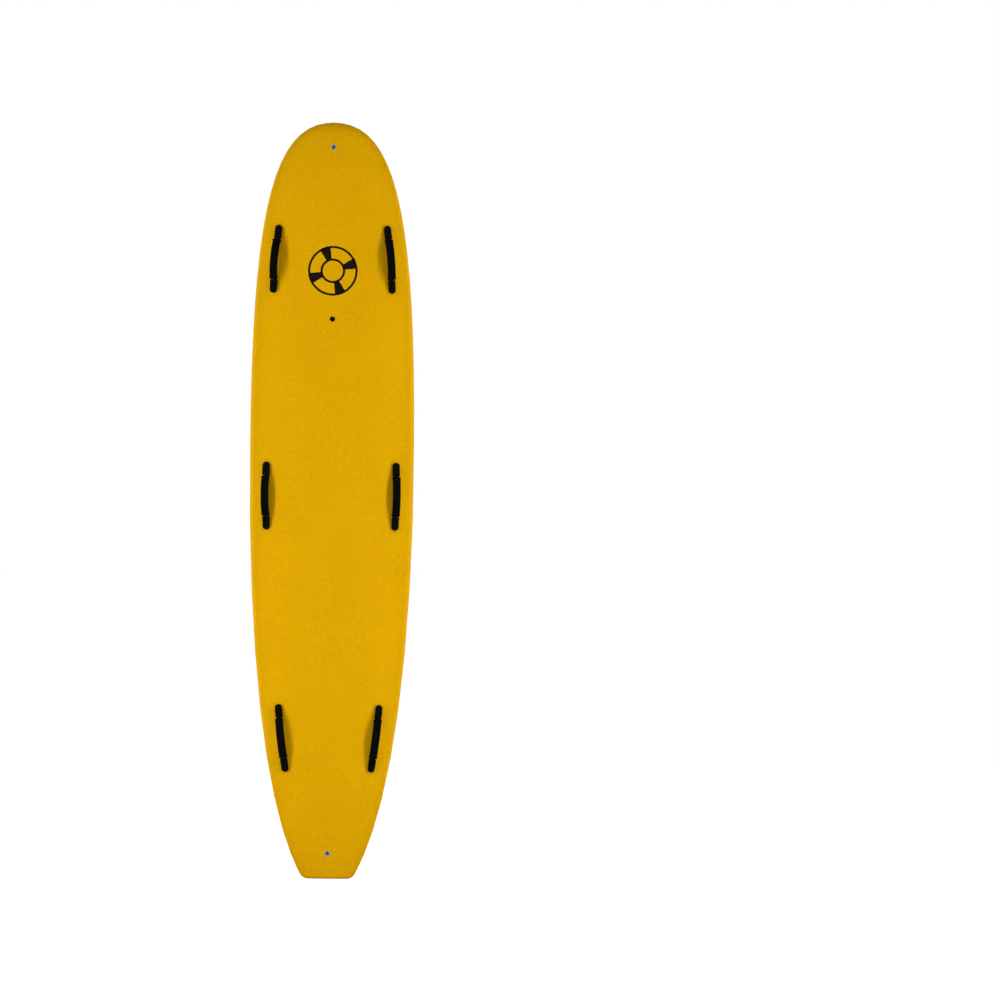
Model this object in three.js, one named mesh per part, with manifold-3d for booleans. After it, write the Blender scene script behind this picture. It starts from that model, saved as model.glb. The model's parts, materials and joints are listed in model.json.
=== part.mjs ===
// Lifeguard rescue board, 10 ft 6 in long, standing on its squash tail. All lengths in millimetres.
// +Z runs up from tail to nose, the deck faces -Y and the slick bottom with its fin faces +Y.
// The origin lies on the flat end of the tail, on the board's centreline.
import * as THREE from "three";
import { mergeVertices } from "three/addons/utils/BufferGeometryUtils.js";
import Module from "manifold-3d";

// Fits shared by the whole board
const seatGap = 0.3;
const overrun = 12;
const weldDistance = 0.001;
const roundSides = 10;

// Board outline, seen from the deck
const boardLength = 3200;
const boardWidth = 698;
const widePointHeight = 1856;
const noseTipPull = 238;
const noseSidePullShare = 0.78125;
const tailSidePull = 50;
const tailEndPull = 450;
const tailEndHalfWidth = 106;
const tailCornerRadius = 18;
const tailFlareShare = 0.595;
const noseTipHalfWidth = 9;
const outlineSteps = 90;

// Rocker: how far deck and bottom lines lie from the flat end of the tail
const deckSag = 4;
const deckNoseLift = 57;
const deckNosePower = 2.5;
const deckTailLift = 17;
const deckTailPower = 1.5;
const bottomDepth = 116;
const bottomNoseLift = 117;
const bottomNosePower = 2.1;
const bottomTailLift = 104;
const bottomTailPower = 2.15;
const bottomCrown = 4;
const noseRoundLength = 46;
const noseTipThickness = 7;
const tailRoundRadius = 9;
const tailBottomRoundRadius = 4;

// Section of the hull: flat deck, full rails, hard lower edge
const railHeightShare = 0.62;
const deckFlatness = 4;
const deckRoundness = 2.2;
const lowerRimWidth = 12;
const deckSteps = 7;
const rimSteps = 3;
const bottomSteps = 6;
const noseStations = 18;
const tailStations = 10;
const noseStationPower = 2.2;
const tailStationPower = 1.9;
const tailRoundShares = [0, 0.05, 0.25, 0.5];

// Layers of the hull
const foamThickness = 6;
const foamLip = 7;
const slickThickness = 2.5;
const slickTrimLength = 3;
const stringerThickness = 5;

// Fin box and fin
const finBoxBottom = 213;
const finBoxLength = 267;
const finBoxWidth = 27;
const finBoxDepth = 26;
const finBoxProud = 0.8;
const finBoxEndRadius = 8;
const finBoxEndSides = 3;
const slotWidth = 9.6;
const slotEndWall = 6;
const slotFloor = 4;
const channelWidth = 18;
const channelHeight = 6.5;
const channelDepth = 10;
const notchWidth = 22;
const notchLength = 27;
const notchFromNose = 128;
const finFromSlotEnd = 19;
const finBaseLength = 150;
const finDepth = 235;
const finRake = 254;
const finThickness = 8.8;
const finTipThickness = 3;
const finBaseGap = 1;
const finTangLength = 148;
const finTangDepth = 19;
const finSlideClearance = 0.4;
const finStations = 9;
const finTipStations = 5;
const finLeadShares = [0.424, 0.147, 1.088, 0.444, 0.991, 0.984];
const finTrailShares = [0.443, 0.498, 0.735, 0.668, 0.877, 1.008];
const finTipShare = 0.9;
const finFoilShares = [0, 0.12, 0.35, 0.62, 0.86];
const finFoilFullShares = [0.16, 0.72, 1, 0.74, 0.3];
const finPinRadius = 2.5;
const finPinLength = 17;
const finPinFromFront = 12;
const finTabLength = 15;
const finTabThickness = 3.5;
const finPlateLength = 12;
const finPlateWidth = 14;
const finPlateThickness = 3;
const finScrewRadius = 2;
const finScrewHeadRadius = 3.6;
const finScrewHeadHeight = 2.4;

// Leash plugs
const nosePlugFromTip = 106;
const tailPlugHeight = 108;
const plugRimRadius = 12;
const plugRimHeight = 1.6;
const plugBodyRadius = 10.8;
const plugCupRadius = 8.7;
const plugCupDepth = 15;
const plugFloor = 3;
const plugBarRadius = 1.5;
const plugBarDepth = 5;
const plugSides = 16;

// Vent
const ventFromTip = 830;
const ventFlangeRadius = 10.8;
const ventFlangeHeight = 1.8;
const ventBodyRadius = 8.5;
const ventBodyDepth = 24;
const ventPocketRadius = 7;
const ventPocketDepth = 6;
const ventScrewRadius = 3;
const ventScrewHeadRadius = 6.4;
const ventScrewHeadHeight = 3.4;
const ventScrewLength = 16;
const ventSlotWidth = 1.6;
const ventSlotDepth = 1.4;
const ventSealRadius = 5.6;
const ventSealThickness = 1.6;

// Grab handles
const handleLength = 288;
const capLength = 56;
const capWidth = 29;
const capTipHeight = 9;
const capRootHeight = 19;
const capTipSides = 12;
const hingeHeight = 12;
const stubRadius = 4.4;
const stubLength = 9;
const strapWidth = 25;
const strapThickness = 3.6;
const archFullness = 56;
const gripWidth = 33;
const gripThickness = 20;
const gripRimGrowth = 2.2;
const gripRimLength = 5;
const gripEndShare = 0.06;
const gripSquareness = 2.6;
const archSteps = 10;
const capRunGap = 2;
const screwFromRoot = 21;
const screwHeadRadius = 4.2;
const screwHeadHeight = 2.6;
const screwRadius = 2.3;
const screwLength = 24;
const screwSeatHeight = 6;
const screwSides = 10;
const anchorWidth = 24;
const anchorDepth = 17;
const anchorLength = 262;

// Places of the three pairs of handles, each inset from the board's widest line, and how far each
// loop stands off the deck
const noseHandlesFromTip = 577;
const noseHandlesInset = 109;
const noseLoopRise = 40;
const middleHandlesHeight = 1620;
const middleHandlesInset = 76;
const middleLoopRise = 30;
const tailHandlesHeight = 594;
const tailHandlesInset = 152;
const tailLoopRise = 28;

// Each pair: height of its middle, distance from the centreline, splay in degrees and loop rise
const handlePairs = [
  {
    place: "nose",
    height: boardLength - noseHandlesFromTip,
    offset: boardWidth / 2 - noseHandlesInset,
    splay: -4.9,
    rise: noseLoopRise,
  },
  {
    place: "middle",
    height: middleHandlesHeight,
    offset: boardWidth / 2 - middleHandlesInset,
    splay: 0.6,
    rise: middleLoopRise,
  },
  {
    place: "tail",
    height: tailHandlesHeight,
    offset: boardWidth / 2 - tailHandlesInset,
    splay: 6.9,
    rise: tailLoopRise,
  },
];

// Finishes
const finish = (color, roughness, metalness) =>
  new THREE.MeshStandardMaterial({ color, roughness, metalness });
const yellowFoam = finish(0xe0ab05, 0.75, 0);
const whiteSlick = finish(0xd3d4ce, 0.4, 0);
const whiteFoam = finish(0xf1efe6, 0.85, 0);
const birchPly = finish(0xb98b56, 0.6, 0);
const blackPlastic = finish(0x141414, 0.5, 0);
const blackWebbing = finish(0x0f0f10, 0.9, 0);
const blackNeoprene = finish(0x151516, 0.85, 0);
const greyPlastic = finish(0xa4aeb4, 0.35, 0);
const stainless = finish(0xb9bcc0, 0.3, 1);
const blackenedSteel = finish(0x191a1c, 0.5, 1);
const boxPlastic = finish(0xc9cbc7, 0.5, 0);
const blackRubber = finish(0x121212, 0.8, 0);

const wasm = await Module();
wasm.setup();

// A closed geometry as a solid that can be joined and cut, its faces turned outwards.
function solidOf(geometry) {
  const bare = geometry.clone();
  bare.deleteAttribute("normal");
  bare.deleteAttribute("uv");
  const welded = mergeVertices(bare, weldDistance);
  const triVerts = new Uint32Array(welded.index.array);
  const make = (corners) =>
    new wasm.Manifold(
      new wasm.Mesh({
        numProp: 3,
        vertProperties: welded.attributes.position.array,
        triVerts: corners,
      }),
    );
  const made = make(triVerts);
  return made.volume() < 0 ? make(triVerts.toReversed()) : made;
}

function geometryOf(solid) {
  const mesh = solid.getMesh();
  const geometry = new THREE.BufferGeometry();
  geometry.setAttribute("position", new THREE.BufferAttribute(mesh.vertProperties, 3));
  geometry.setIndex(new THREE.BufferAttribute(mesh.triVerts, 1));
  geometry.computeVertexNormals();
  return geometry;
}

const board = new THREE.Group();

function add(parent, name, solid, material) {
  const mesh = new THREE.Mesh(geometryOf(solid), material);
  mesh.name = name;
  parent.add(mesh);
}

// A solid moved into the board's frame, or out of it.
function movedBy(solid, matrix) {
  return solidOf(geometryOf(solid).applyMatrix4(matrix));
}

// A box given by its low and high corners.
function boxSolid(low, high) {
  const size = new THREE.Vector3().subVectors(high, low);
  const middle = new THREE.Vector3().addVectors(high, low).multiplyScalar(1 / 2);
  const geometry = new THREE.BoxGeometry(size.x, size.y, size.z);
  return solidOf(geometry.translate(middle.x, middle.y, middle.z));
}

// A solid turned about Y. Each point of its profile is a radius and a depth into the board.
function turned(profile, sides) {
  const points = profile.map(([radius, depth]) => new THREE.Vector2(radius, depth));
  return solidOf(new THREE.LatheGeometry(points, sides));
}

// A round rod along Y between two depths.
function rodAlongY(radius, from, to, sides) {
  const length = to - from;
  const geometry = new THREE.CylinderGeometry(radius, radius, length, sides);
  return solidOf(geometry.translate(0, from + length / 2, 0));
}

// A round rod along Z between two heights, centred on a depth.
function rodAlongZ(radius, from, to, depth, sides) {
  const length = to - from;
  const geometry = new THREE.CylinderGeometry(radius, radius, length, sides).rotateX(Math.PI / 2);
  return solidOf(geometry.translate(0, depth, from + length / 2));
}

// A round rod along X, centred on a depth and a height.
function rodAlongX(radius, length, depth, height, sides) {
  const geometry = new THREE.CylinderGeometry(radius, radius, length, sides).rotateZ(Math.PI / 2);
  return solidOf(geometry.translate(0, depth, height));
}

// A closed skin over a row of rings with as many points each. The outline closes both ends.
function loft(rings, startOutline, endOutline) {
  const count = rings[0].length;
  const corners = rings.flat().flatMap((point) => [point.x, point.y, point.z]);
  const index = [];
  for (let ring = 0; ring + 1 < rings.length; ring++) {
    for (let i = 0; i < count; i++) {
      const a = ring * count + i;
      const b = ring * count + ((i + 1) % count);
      index.push(a, b, b + count, a, b + count, a + count);
    }
  }
  const last = (rings.length - 1) * count;
  for (const [a, b, c] of THREE.ShapeUtils.triangulateShape(startOutline, [])) {
    index.push(c, b, a);
  }
  for (const [a, b, c] of THREE.ShapeUtils.triangulateShape(endOutline, [])) {
    index.push(last + a, last + b, last + c);
  }
  const geometry = new THREE.BufferGeometry();
  geometry.setAttribute("position", new THREE.Float32BufferAttribute(corners, 3));
  geometry.setIndex(index);
  return solidOf(geometry);
}

const flatten = (ring) => ring.map((point) => new THREE.Vector2(point.x, point.y));

// Half the board's width as two curves that meet at the wide point.
const noseCurve = new THREE.CubicBezierCurve(
  new THREE.Vector2(0, boardLength),
  new THREE.Vector2(noseTipPull, boardLength),
  new THREE.Vector2(
    boardWidth / 2,
    THREE.MathUtils.lerp(widePointHeight, boardLength, noseSidePullShare),
  ),
  new THREE.Vector2(boardWidth / 2, widePointHeight),
);
const tailCurve = new THREE.CubicBezierCurve(
  new THREE.Vector2(boardWidth / 2, widePointHeight),
  new THREE.Vector2(boardWidth / 2, widePointHeight - tailSidePull),
  new THREE.Vector2(tailEndHalfWidth + tailFlareShare * tailEndPull, tailEndPull),
  new THREE.Vector2(tailEndHalfWidth, 0),
);
const outline = [...noseCurve.getPoints(outlineSteps), ...tailCurve.getPoints(outlineSteps)];

function outlineHalfWidth(height) {
  const next = outline.findIndex((point) => point.y <= height);
  if (next <= 0) return noseTipHalfWidth;
  const above = outline[next - 1];
  const below = outline[next];
  const share = above.y > below.y ? (above.y - height) / (above.y - below.y) : 0;
  return Math.max(noseTipHalfWidth, THREE.MathUtils.lerp(above.x, below.x, share));
}

// How far a height lies from the wide point towards its end of the board, from 0 to 1.
function endShare(height) {
  const fromWide = height - widePointHeight;
  return fromWide > 0 ? fromWide / (boardLength - widePointHeight) : -fromWide / widePointHeight;
}

// The hull's size at one height: half width, deck, rail, bottom and lower rim.
function hullAt(height) {
  const towardsNose = height > widePointHeight;
  const share = endShare(height);
  const deckRise = towardsNose
    ? deckNoseLift * share ** deckNosePower
    : deckTailLift * share ** deckTailPower;
  const bottomRise = towardsNose
    ? bottomNoseLift * share ** bottomNosePower
    : bottomTailLift * share ** bottomTailPower;
  const deckLine = -deckSag - deckRise;
  const bottomLine = bottomDepth - bottomRise;
  const fromTip = Math.min(boardLength - height, noseRoundLength);
  const tipRoundness = Math.sqrt(1 - (1 - fromTip / noseRoundLength) ** 2);
  const rail = THREE.MathUtils.lerp(deckLine, bottomLine, railHeightShare);
  const least = noseTipThickness / (bottomLine - deckLine);
  const fullness = Math.max(tipRoundness, least);
  const footInset = (radius) =>
    radius - Math.sqrt(radius ** 2 - Math.max(radius - height, 0) ** 2);
  return {
    half: outlineHalfWidth(height) - footInset(tailCornerRadius),
    deck: rail - (rail - deckLine) * fullness + footInset(tailRoundRadius),
    rail,
    bottom: rail + (bottomLine - rail) * fullness - footInset(tailBottomRoundRadius),
    rim: lowerRimWidth * (1 - share ** 2),
  };
}

// Heights of the hull's sections, closest together where the outline turns. A trimmed hull stops
// that far below the nose tip, and starts just above the end of the tail.
function sectionHeights(topTrim) {
  const roundShares = topTrim > 0 ? tailRoundShares.slice(1) : tailRoundShares;
  const heights = roundShares.map((share) => share * tailCornerRadius);
  for (let i = 0; i < tailStations; i++) {
    const share = (i / tailStations) ** tailStationPower;
    heights.push(THREE.MathUtils.lerp(tailCornerRadius, widePointHeight, share));
  }
  for (let i = noseStations; i >= 0; i--) {
    const fromTip = (boardLength - widePointHeight) * (i / noseStations) ** noseStationPower;
    heights.push(boardLength - Math.max(fromTip, topTrim));
  }
  return heights.filter((height, i) => i === 0 || height > heights[i - 1]);
}

// Where a height of the outer hull lies on a layer inset all round.
function insetHeight(height, inset) {
  const end = height > widePointHeight ? boardLength : 0;
  const run = Math.abs(end - widePointHeight);
  return widePointHeight + ((height - widePointHeight) * (run - inset)) / run;
}

// One ring of the hull, seen from the nose and drawn anticlockwise. It is inset from the deck and
// rails, its lower rail stops a lip above the bottom, and its floor is moved out from the bottom.
function hullRing(height, inset, lip, floor) {
  const hull = hullAt(height);
  const half = hull.half * (1 - (2 * inset) / boardWidth);
  const deck = hull.deck + inset;
  const foot = half - hull.rim;
  const edge = hull.bottom - bottomCrown * (foot / (boardWidth / 2)) ** 2;
  const z = insetHeight(height, inset);
  const ring = [];
  for (let i = 0; i <= bottomSteps; i++) {
    const side = 1 - (2 * i) / bottomSteps;
    const y = THREE.MathUtils.lerp(hull.bottom, edge, side ** 2) + floor;
    ring.push(new THREE.Vector3(side * foot, y, z));
  }
  const lowest = edge - lip;
  const rimPoint = (side, i) => {
    const turn = ((i / rimSteps) * Math.PI) / 2;
    const x = foot + hull.rim * Math.sin(turn);
    return new THREE.Vector3(side * x, hull.rail + (lowest - hull.rail) * Math.cos(turn), z);
  };
  for (let i = lip > 0 ? 0 : 1; i < rimSteps; i++) ring.push(rimPoint(-1, i));
  for (let i = -deckSteps; i <= deckSteps; i++) {
    const turn = ((Math.abs(i) / deckSteps) * Math.PI) / 2;
    const x = Math.sign(i) * half * Math.sin(turn) ** (2 / deckFlatness);
    const y = hull.rail - (hull.rail - deck) * Math.max(Math.cos(turn), 0) ** (2 / deckRoundness);
    ring.push(new THREE.Vector3(x, y, z));
  }
  for (let i = rimSteps - 1; i >= (lip > 0 ? 0 : 1); i--) ring.push(rimPoint(1, i));
  return ring;
}

function hullSolid(inset, lip, floor, topTrim) {
  const rings = sectionHeights(topTrim).map((height) => hullRing(height, inset, lip, floor));
  return loft(rings, flatten(rings[0]), flatten(rings.at(-1)));
}

// The slick bottom skin: a strip as wide as the foam leaves open.
function slickSolid() {
  const rings = sectionHeights(slickTrimLength + seatGap).map((height) => {
    const outer = hullRing(height, foamThickness + seatGap, foamLip, 0).slice(0, bottomSteps + 1);
    const inner = outer.map((point) => point.clone().setY(point.y - slickThickness)).reverse();
    return [...outer, ...inner];
  });
  return loft(rings, flatten(rings[0]), flatten(rings.at(-1)));
}

// The deck's depth at a point of its plan.
function deckDepth(x, height) {
  const hull = hullAt(height);
  const across = Math.min(Math.abs(x) / hull.half, 1);
  const full = (1 - across ** deckFlatness) ** (1 / deckRoundness);
  return hull.rail - (hull.rail - hull.deck) * full;
}

// A frame on the deck, level with it over a span along and across: Y goes into the board, and Z
// runs along the deck turned by the splay.
function deckFrame(x, height, splay, acrossSpan, alongSpan) {
  const at = (dx, dz) => new THREE.Vector3(x + dx, deckDepth(x + dx, height + dz), height + dz);
  const across = at(acrossSpan / 2, 0).sub(at(-acrossSpan / 2, 0));
  const along = at(0, alongSpan / 2).sub(at(0, -alongSpan / 2));
  return frameFrom(at(0, 0), across, along, splay);
}

function frameFrom(origin, across, along, splay) {
  const inward = new THREE.Vector3().crossVectors(along, across).normalize();
  const line = along.clone().normalize().applyAxisAngle(inward, splay);
  const side = new THREE.Vector3().crossVectors(inward, line);
  return new THREE.Matrix4().makeBasis(side, inward, line).setPosition(origin);
}

// A frame on the bottom's centreline over a stretch of the board, with Y out of the bottom.
function bottomFrame(from, to, proud) {
  const low = new THREE.Vector3(0, hullAt(from).bottom, from);
  const high = new THREE.Vector3(0, hullAt(to).bottom, to);
  const line = high.clone().sub(low).normalize();
  const side = new THREE.Vector3(1, 0, 0);
  const outward = new THREE.Vector3().crossVectors(line, side);
  const origin = low.addScaledVector(outward, proud);
  return new THREE.Matrix4().makeBasis(side, outward, line).setPosition(origin);
}

function groupAt(matrix) {
  const group = new THREE.Group();
  group.applyMatrix4(matrix);
  board.add(group);
  return group;
}

// What is cut out of the layers of the hull, in the board's frame
const skinCuts = [];
const coreCuts = [];
const slickCuts = [];

const innerHull = hullSolid(
  foamThickness + seatGap,
  foamLip + seatGap,
  -slickThickness - seatGap,
  slickTrimLength + seatGap,
);
const hullClearance = hullSolid(-seatGap, 0, seatGap, 0);

// Cuts a round pocket for a body let into the deck, and faces the foam flat under its rim.
function cutSeat(matrix, bodyRadius, bodyDepth, rimRadius) {
  const pocket = rodAlongY(bodyRadius + seatGap, -overrun, bodyDepth + seatGap, plugSides);
  const facing = rodAlongY(rimRadius + seatGap, -overrun, 0, plugSides);
  const cut = movedBy(pocket.add(facing), matrix);
  skinCuts.push(cut);
  coreCuts.push(cut);
}

// Leash plugs: a cup with a steel bar across it
function makePlug(name, height) {
  const matrix = deckFrame(0, height, 0, 2 * plugRimRadius, 2 * plugRimRadius);
  const group = groupAt(matrix);
  const depth = plugCupDepth + plugFloor;
  const cup = turned(
    [
      [0, plugCupDepth],
      [plugCupRadius, plugCupDepth],
      [plugCupRadius, -plugRimHeight],
      [plugRimRadius, -plugRimHeight],
      [plugRimRadius, -seatGap],
      [plugBodyRadius, -seatGap],
      [plugBodyRadius, depth],
      [0, depth],
    ],
    plugSides,
  );
  const barHalf = plugBodyRadius - plugBarRadius;
  const barHole = rodAlongX(
    plugBarRadius + seatGap,
    2 * (barHalf + seatGap),
    plugBarDepth,
    0,
    roundSides,
  );
  add(group, name + "_leash_cup", cup.subtract(barHole), greyPlastic);
  const bar = rodAlongX(plugBarRadius, 2 * barHalf, plugBarDepth, 0, roundSides);
  add(group, name + "_leash_bar", bar, stainless);
  cutSeat(matrix, plugBodyRadius, depth, plugRimRadius);
}

makePlug("nose", boardLength - nosePlugFromTip);
makePlug("tail", tailPlugHeight);

// Vent: a body in the deck, and a slotted screw that lifts with its seal when it is undone
function makeVent() {
  const flangeWidth = 2 * ventFlangeRadius;
  const matrix = deckFrame(0, boardLength - ventFromTip, 0, flangeWidth, flangeWidth);
  const group = groupAt(matrix);
  const body = turned(
    [
      [ventScrewRadius + 2 * seatGap, ventPocketDepth],
      [ventPocketRadius, ventPocketDepth],
      [ventPocketRadius, -ventFlangeHeight],
      [ventFlangeRadius, -ventFlangeHeight],
      [ventFlangeRadius, -seatGap],
      [ventBodyRadius, -seatGap],
      [ventBodyRadius, ventBodyDepth],
      [ventScrewRadius + 2 * seatGap, ventBodyDepth],
      [ventScrewRadius + 2 * seatGap, ventPocketDepth],
    ],
    plugSides,
  );
  add(group, "vent_body", body, blackPlastic);
  const sealTop = ventPocketDepth - seatGap - ventSealThickness;
  const sealHole = ventScrewRadius + seatGap;
  const seal = turned(
    [
      [sealHole, sealTop],
      [ventSealRadius, sealTop],
      [ventSealRadius, sealTop + ventSealThickness],
      [sealHole, sealTop + ventSealThickness],
      [sealHole, sealTop],
    ],
    plugSides,
  );
  add(group, "vent_seal", seal, blackRubber);
  const headBottom = sealTop - seatGap;
  const headTop = headBottom - ventScrewHeadHeight;
  const screw = turned(
    [
      [0, headTop],
      [ventScrewHeadRadius, headTop],
      [ventScrewHeadRadius, headBottom],
      [ventScrewRadius, headBottom],
      [ventScrewRadius, headBottom + ventScrewLength],
      [0, headBottom + ventScrewLength],
    ],
    plugSides,
  );
  const slot = boxSolid(
    new THREE.Vector3(-ventScrewHeadRadius - overrun, headTop - overrun, -ventSlotWidth / 2),
    new THREE.Vector3(ventScrewHeadRadius + overrun, headTop + ventSlotDepth, ventSlotWidth / 2),
  );
  add(group, "vent_screw", screw.subtract(slot), blackPlastic);
  cutSeat(matrix, ventBodyRadius, ventBodyDepth, ventFlangeRadius);
}

makeVent();

// Grab handles: two screwed end caps, a webbing loop that folds between them and a soft sleeve
function capBlank() {
  const root = handleLength / 2 - capLength;
  const tip = handleLength / 2;
  const radius = capWidth / 2;
  const depth = capRootHeight + overrun;
  const plan = new THREE.Shape();
  plan.moveTo(-radius, root);
  plan.lineTo(radius, root);
  plan.absarc(0, tip - radius, radius, 0, Math.PI, false);
  const planSolid = solidOf(
    new THREE.ExtrudeGeometry(plan, {
      depth: depth + overrun,
      bevelEnabled: false,
      curveSegments: capTipSides,
    })
      .rotateX(Math.PI / 2)
      .translate(0, overrun, 0),
  );
  const side = new THREE.Shape();
  side.moveTo(root, -overrun);
  side.lineTo(root, capRootHeight);
  side.lineTo(tip, capTipHeight);
  side.lineTo(tip, -overrun);
  const turn = new THREE.Matrix4().makeBasis(
    new THREE.Vector3(0, 0, 1),
    new THREE.Vector3(0, -1, 0),
    new THREE.Vector3(1, 0, 0),
  );
  const sideSolid = solidOf(
    new THREE.ExtrudeGeometry(side, { depth: capWidth + 2 * overrun, bevelEnabled: false })
      .translate(0, 0, -capWidth / 2 - overrun)
      .applyMatrix4(turn),
  );
  return planSolid.intersect(sideSolid);
}

const halfTurn = new THREE.Matrix4().makeRotationY(Math.PI);
const screwPlace = handleLength / 2 - capLength + screwFromRoot;
const atScrew = new THREE.Matrix4().makeTranslation(0, 0, screwPlace);

function capSolid() {
  const root = handleLength / 2 - capLength;
  const bore = rodAlongZ(
    stubRadius + seatGap,
    root - overrun,
    root + stubLength + seatGap,
    -hingeHeight,
    roundSides,
  );
  const recess = movedBy(
    rodAlongY(screwHeadRadius + seatGap, -capRootHeight - overrun, -screwSeatHeight, screwSides),
    atScrew,
  );
  const hole = movedBy(
    rodAlongY(screwRadius + seatGap, -screwSeatHeight - overrun / 2, overrun, screwSides),
    atScrew,
  );
  return capBlank().subtract(bore).subtract(recess).subtract(hole);
}

function screwSolid() {
  const headBottom = -screwSeatHeight - seatGap;
  const screw = turned(
    [
      [0, headBottom - screwHeadHeight],
      [screwHeadRadius, headBottom - screwHeadHeight],
      [screwHeadRadius, headBottom],
      [screwRadius, headBottom],
      [screwRadius, headBottom + screwLength],
      [0, headBottom + screwLength],
    ],
    screwSides,
  );
  return movedBy(screw, atScrew);
}

// The loop's centre line from cap to cap, in the plane across the deck.
function archCurve(rise) {
  const end = handleLength / 2 - capLength - capRunGap;
  const pull = (4 * rise - hingeHeight) / 3;
  return new THREE.CubicBezierCurve3(
    new THREE.Vector3(0, -hingeHeight, -end),
    new THREE.Vector3(0, -pull, -archFullness),
    new THREE.Vector3(0, -pull, archFullness),
    new THREE.Vector3(0, -hingeHeight, end),
  );
}

// Sections carried square to the loop, each at its own share of the loop's length.
function alongArch(rise, stops) {
  const curve = archCurve(rise);
  const rings = stops.map(([share, section]) => {
    const centre = curve.getPoint(share);
    const tangent = curve.getTangent(share);
    const inward = new THREE.Vector3(0, tangent.z, -tangent.y);
    return section.map(
      (p) => new THREE.Vector3(p.x, centre.y + inward.y * p.y, centre.z + inward.z * p.y),
    );
  });
  return loft(rings, stops[0][1], stops.at(-1)[1]);
}

// One section at even steps between two shares of the loop.
function evenStops(from, to, section) {
  const stops = [];
  for (let i = 0; i <= archSteps; i++) {
    stops.push([THREE.MathUtils.lerp(from, to, i / archSteps), section]);
  }
  return stops;
}

function flatSection(width, thickness) {
  const x = width / 2;
  const y = thickness / 2;
  return [
    new THREE.Vector2(x, y),
    new THREE.Vector2(-x, y),
    new THREE.Vector2(-x, -y),
    new THREE.Vector2(x, -y),
  ];
}

function softSection(width, thickness) {
  const points = [];
  for (let i = 0; i < roundSides; i++) {
    const turn = ((i + 1 / 2) / roundSides) * 2 * Math.PI;
    const x = Math.sign(Math.cos(turn)) * Math.abs(Math.cos(turn)) ** (2 / gripSquareness);
    const y = Math.sign(Math.sin(turn)) * Math.abs(Math.sin(turn)) ** (2 / gripSquareness);
    points.push(new THREE.Vector2((x * width) / 2, (y * thickness) / 2));
  }
  return points;
}

function strapSolid(rise) {
  const root = handleLength / 2 - capLength;
  const start = root - capRunGap;
  const stub = rodAlongZ(
    stubRadius,
    start - strapThickness,
    root + stubLength - seatGap,
    -hingeHeight,
    roundSides,
  );
  const loop = alongArch(rise, evenStops(0, 1, flatSection(strapWidth, strapThickness)));
  return loop.add(stub).add(movedBy(stub, halfTurn));
}

function gripSolid(rise) {
  const loopLength = handleLength - 2 * capLength;
  const rimShare = gripRimLength / loopLength;
  const bevelShare = gripRimGrowth / loopLength;
  const rim = softSection(gripWidth + 2 * gripRimGrowth, gripThickness + gripRimGrowth);
  const low = gripEndShare;
  const high = 1 - gripEndShare;
  const inner = rimShare + bevelShare;
  const sleeve = alongArch(rise, [
    [low, rim],
    [low + rimShare, rim],
    ...evenStops(low + inner, high - inner, softSection(gripWidth, gripThickness)),
    [high - rimShare, rim],
    [high, rim],
  ]);
  const hole = flatSection(strapWidth + 2 * seatGap, strapThickness + 2 * seatGap);
  return sleeve.subtract(alongArch(rise, evenStops(0, 1, hole)));
}

function makeHandle(pair, sideName, side) {
  const name = "handle_" + pair.place + "_" + sideName;
  const splay = side * THREE.MathUtils.degToRad(pair.splay);
  const matrix = deckFrame(side * pair.offset, pair.height, splay, capWidth, handleLength);
  const outOfBoard = matrix.clone().invert();
  const group = groupAt(matrix);
  const deck = movedBy(hullClearance, outOfBoard);
  const cap = capSolid();
  const screw = screwSolid();
  add(group, name + "_cap_upper", cap.subtract(deck), blackPlastic);
  add(group, name + "_cap_lower", movedBy(cap, halfTurn).subtract(deck), blackPlastic);
  add(group, name + "_strap", strapSolid(pair.rise), blackWebbing);
  add(group, name + "_grip", gripSolid(pair.rise), blackNeoprene);
  add(group, name + "_screw_upper", screw, blackenedSteel);
  add(group, name + "_screw_lower", movedBy(screw, halfTurn), blackenedSteel);

  const screwHole = movedBy(
    rodAlongY(screwRadius + seatGap, -overrun, screwLength, screwSides),
    atScrew,
  );
  const holes = screwHole.add(movedBy(screwHole, halfTurn));
  const anchorBox = (gap) => {
    const halfWidth = anchorWidth / 2 + gap;
    const halfLength = anchorLength / 2 + gap;
    return boxSolid(
      new THREE.Vector3(-halfWidth, -overrun, -halfLength),
      new THREE.Vector3(halfWidth, foamThickness + anchorDepth + gap, halfLength),
    );
  };
  const anchor = anchorBox(0).intersect(movedBy(innerHull, outOfBoard)).subtract(holes);
  add(group, name + "_anchor", anchor, blackPlastic);
  skinCuts.push(movedBy(holes, matrix));
  coreCuts.push(movedBy(anchorBox(seatGap), matrix));
}

for (const pair of handlePairs) {
  makeHandle(pair, "left", -1);
  makeHandle(pair, "right", 1);
}

// Fin box: a straight slot with a wider channel under its lips, let into the bottom
const finBoxMatrix = bottomFrame(finBoxBottom, finBoxBottom + finBoxLength, finBoxProud);

function boxInFinFrame(halfWidth, fromDepth, toDepth, fromZ, toZ) {
  return boxSolid(
    new THREE.Vector3(-halfWidth, -toDepth, fromZ),
    new THREE.Vector3(halfWidth, -fromDepth, toZ),
  );
}

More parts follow.
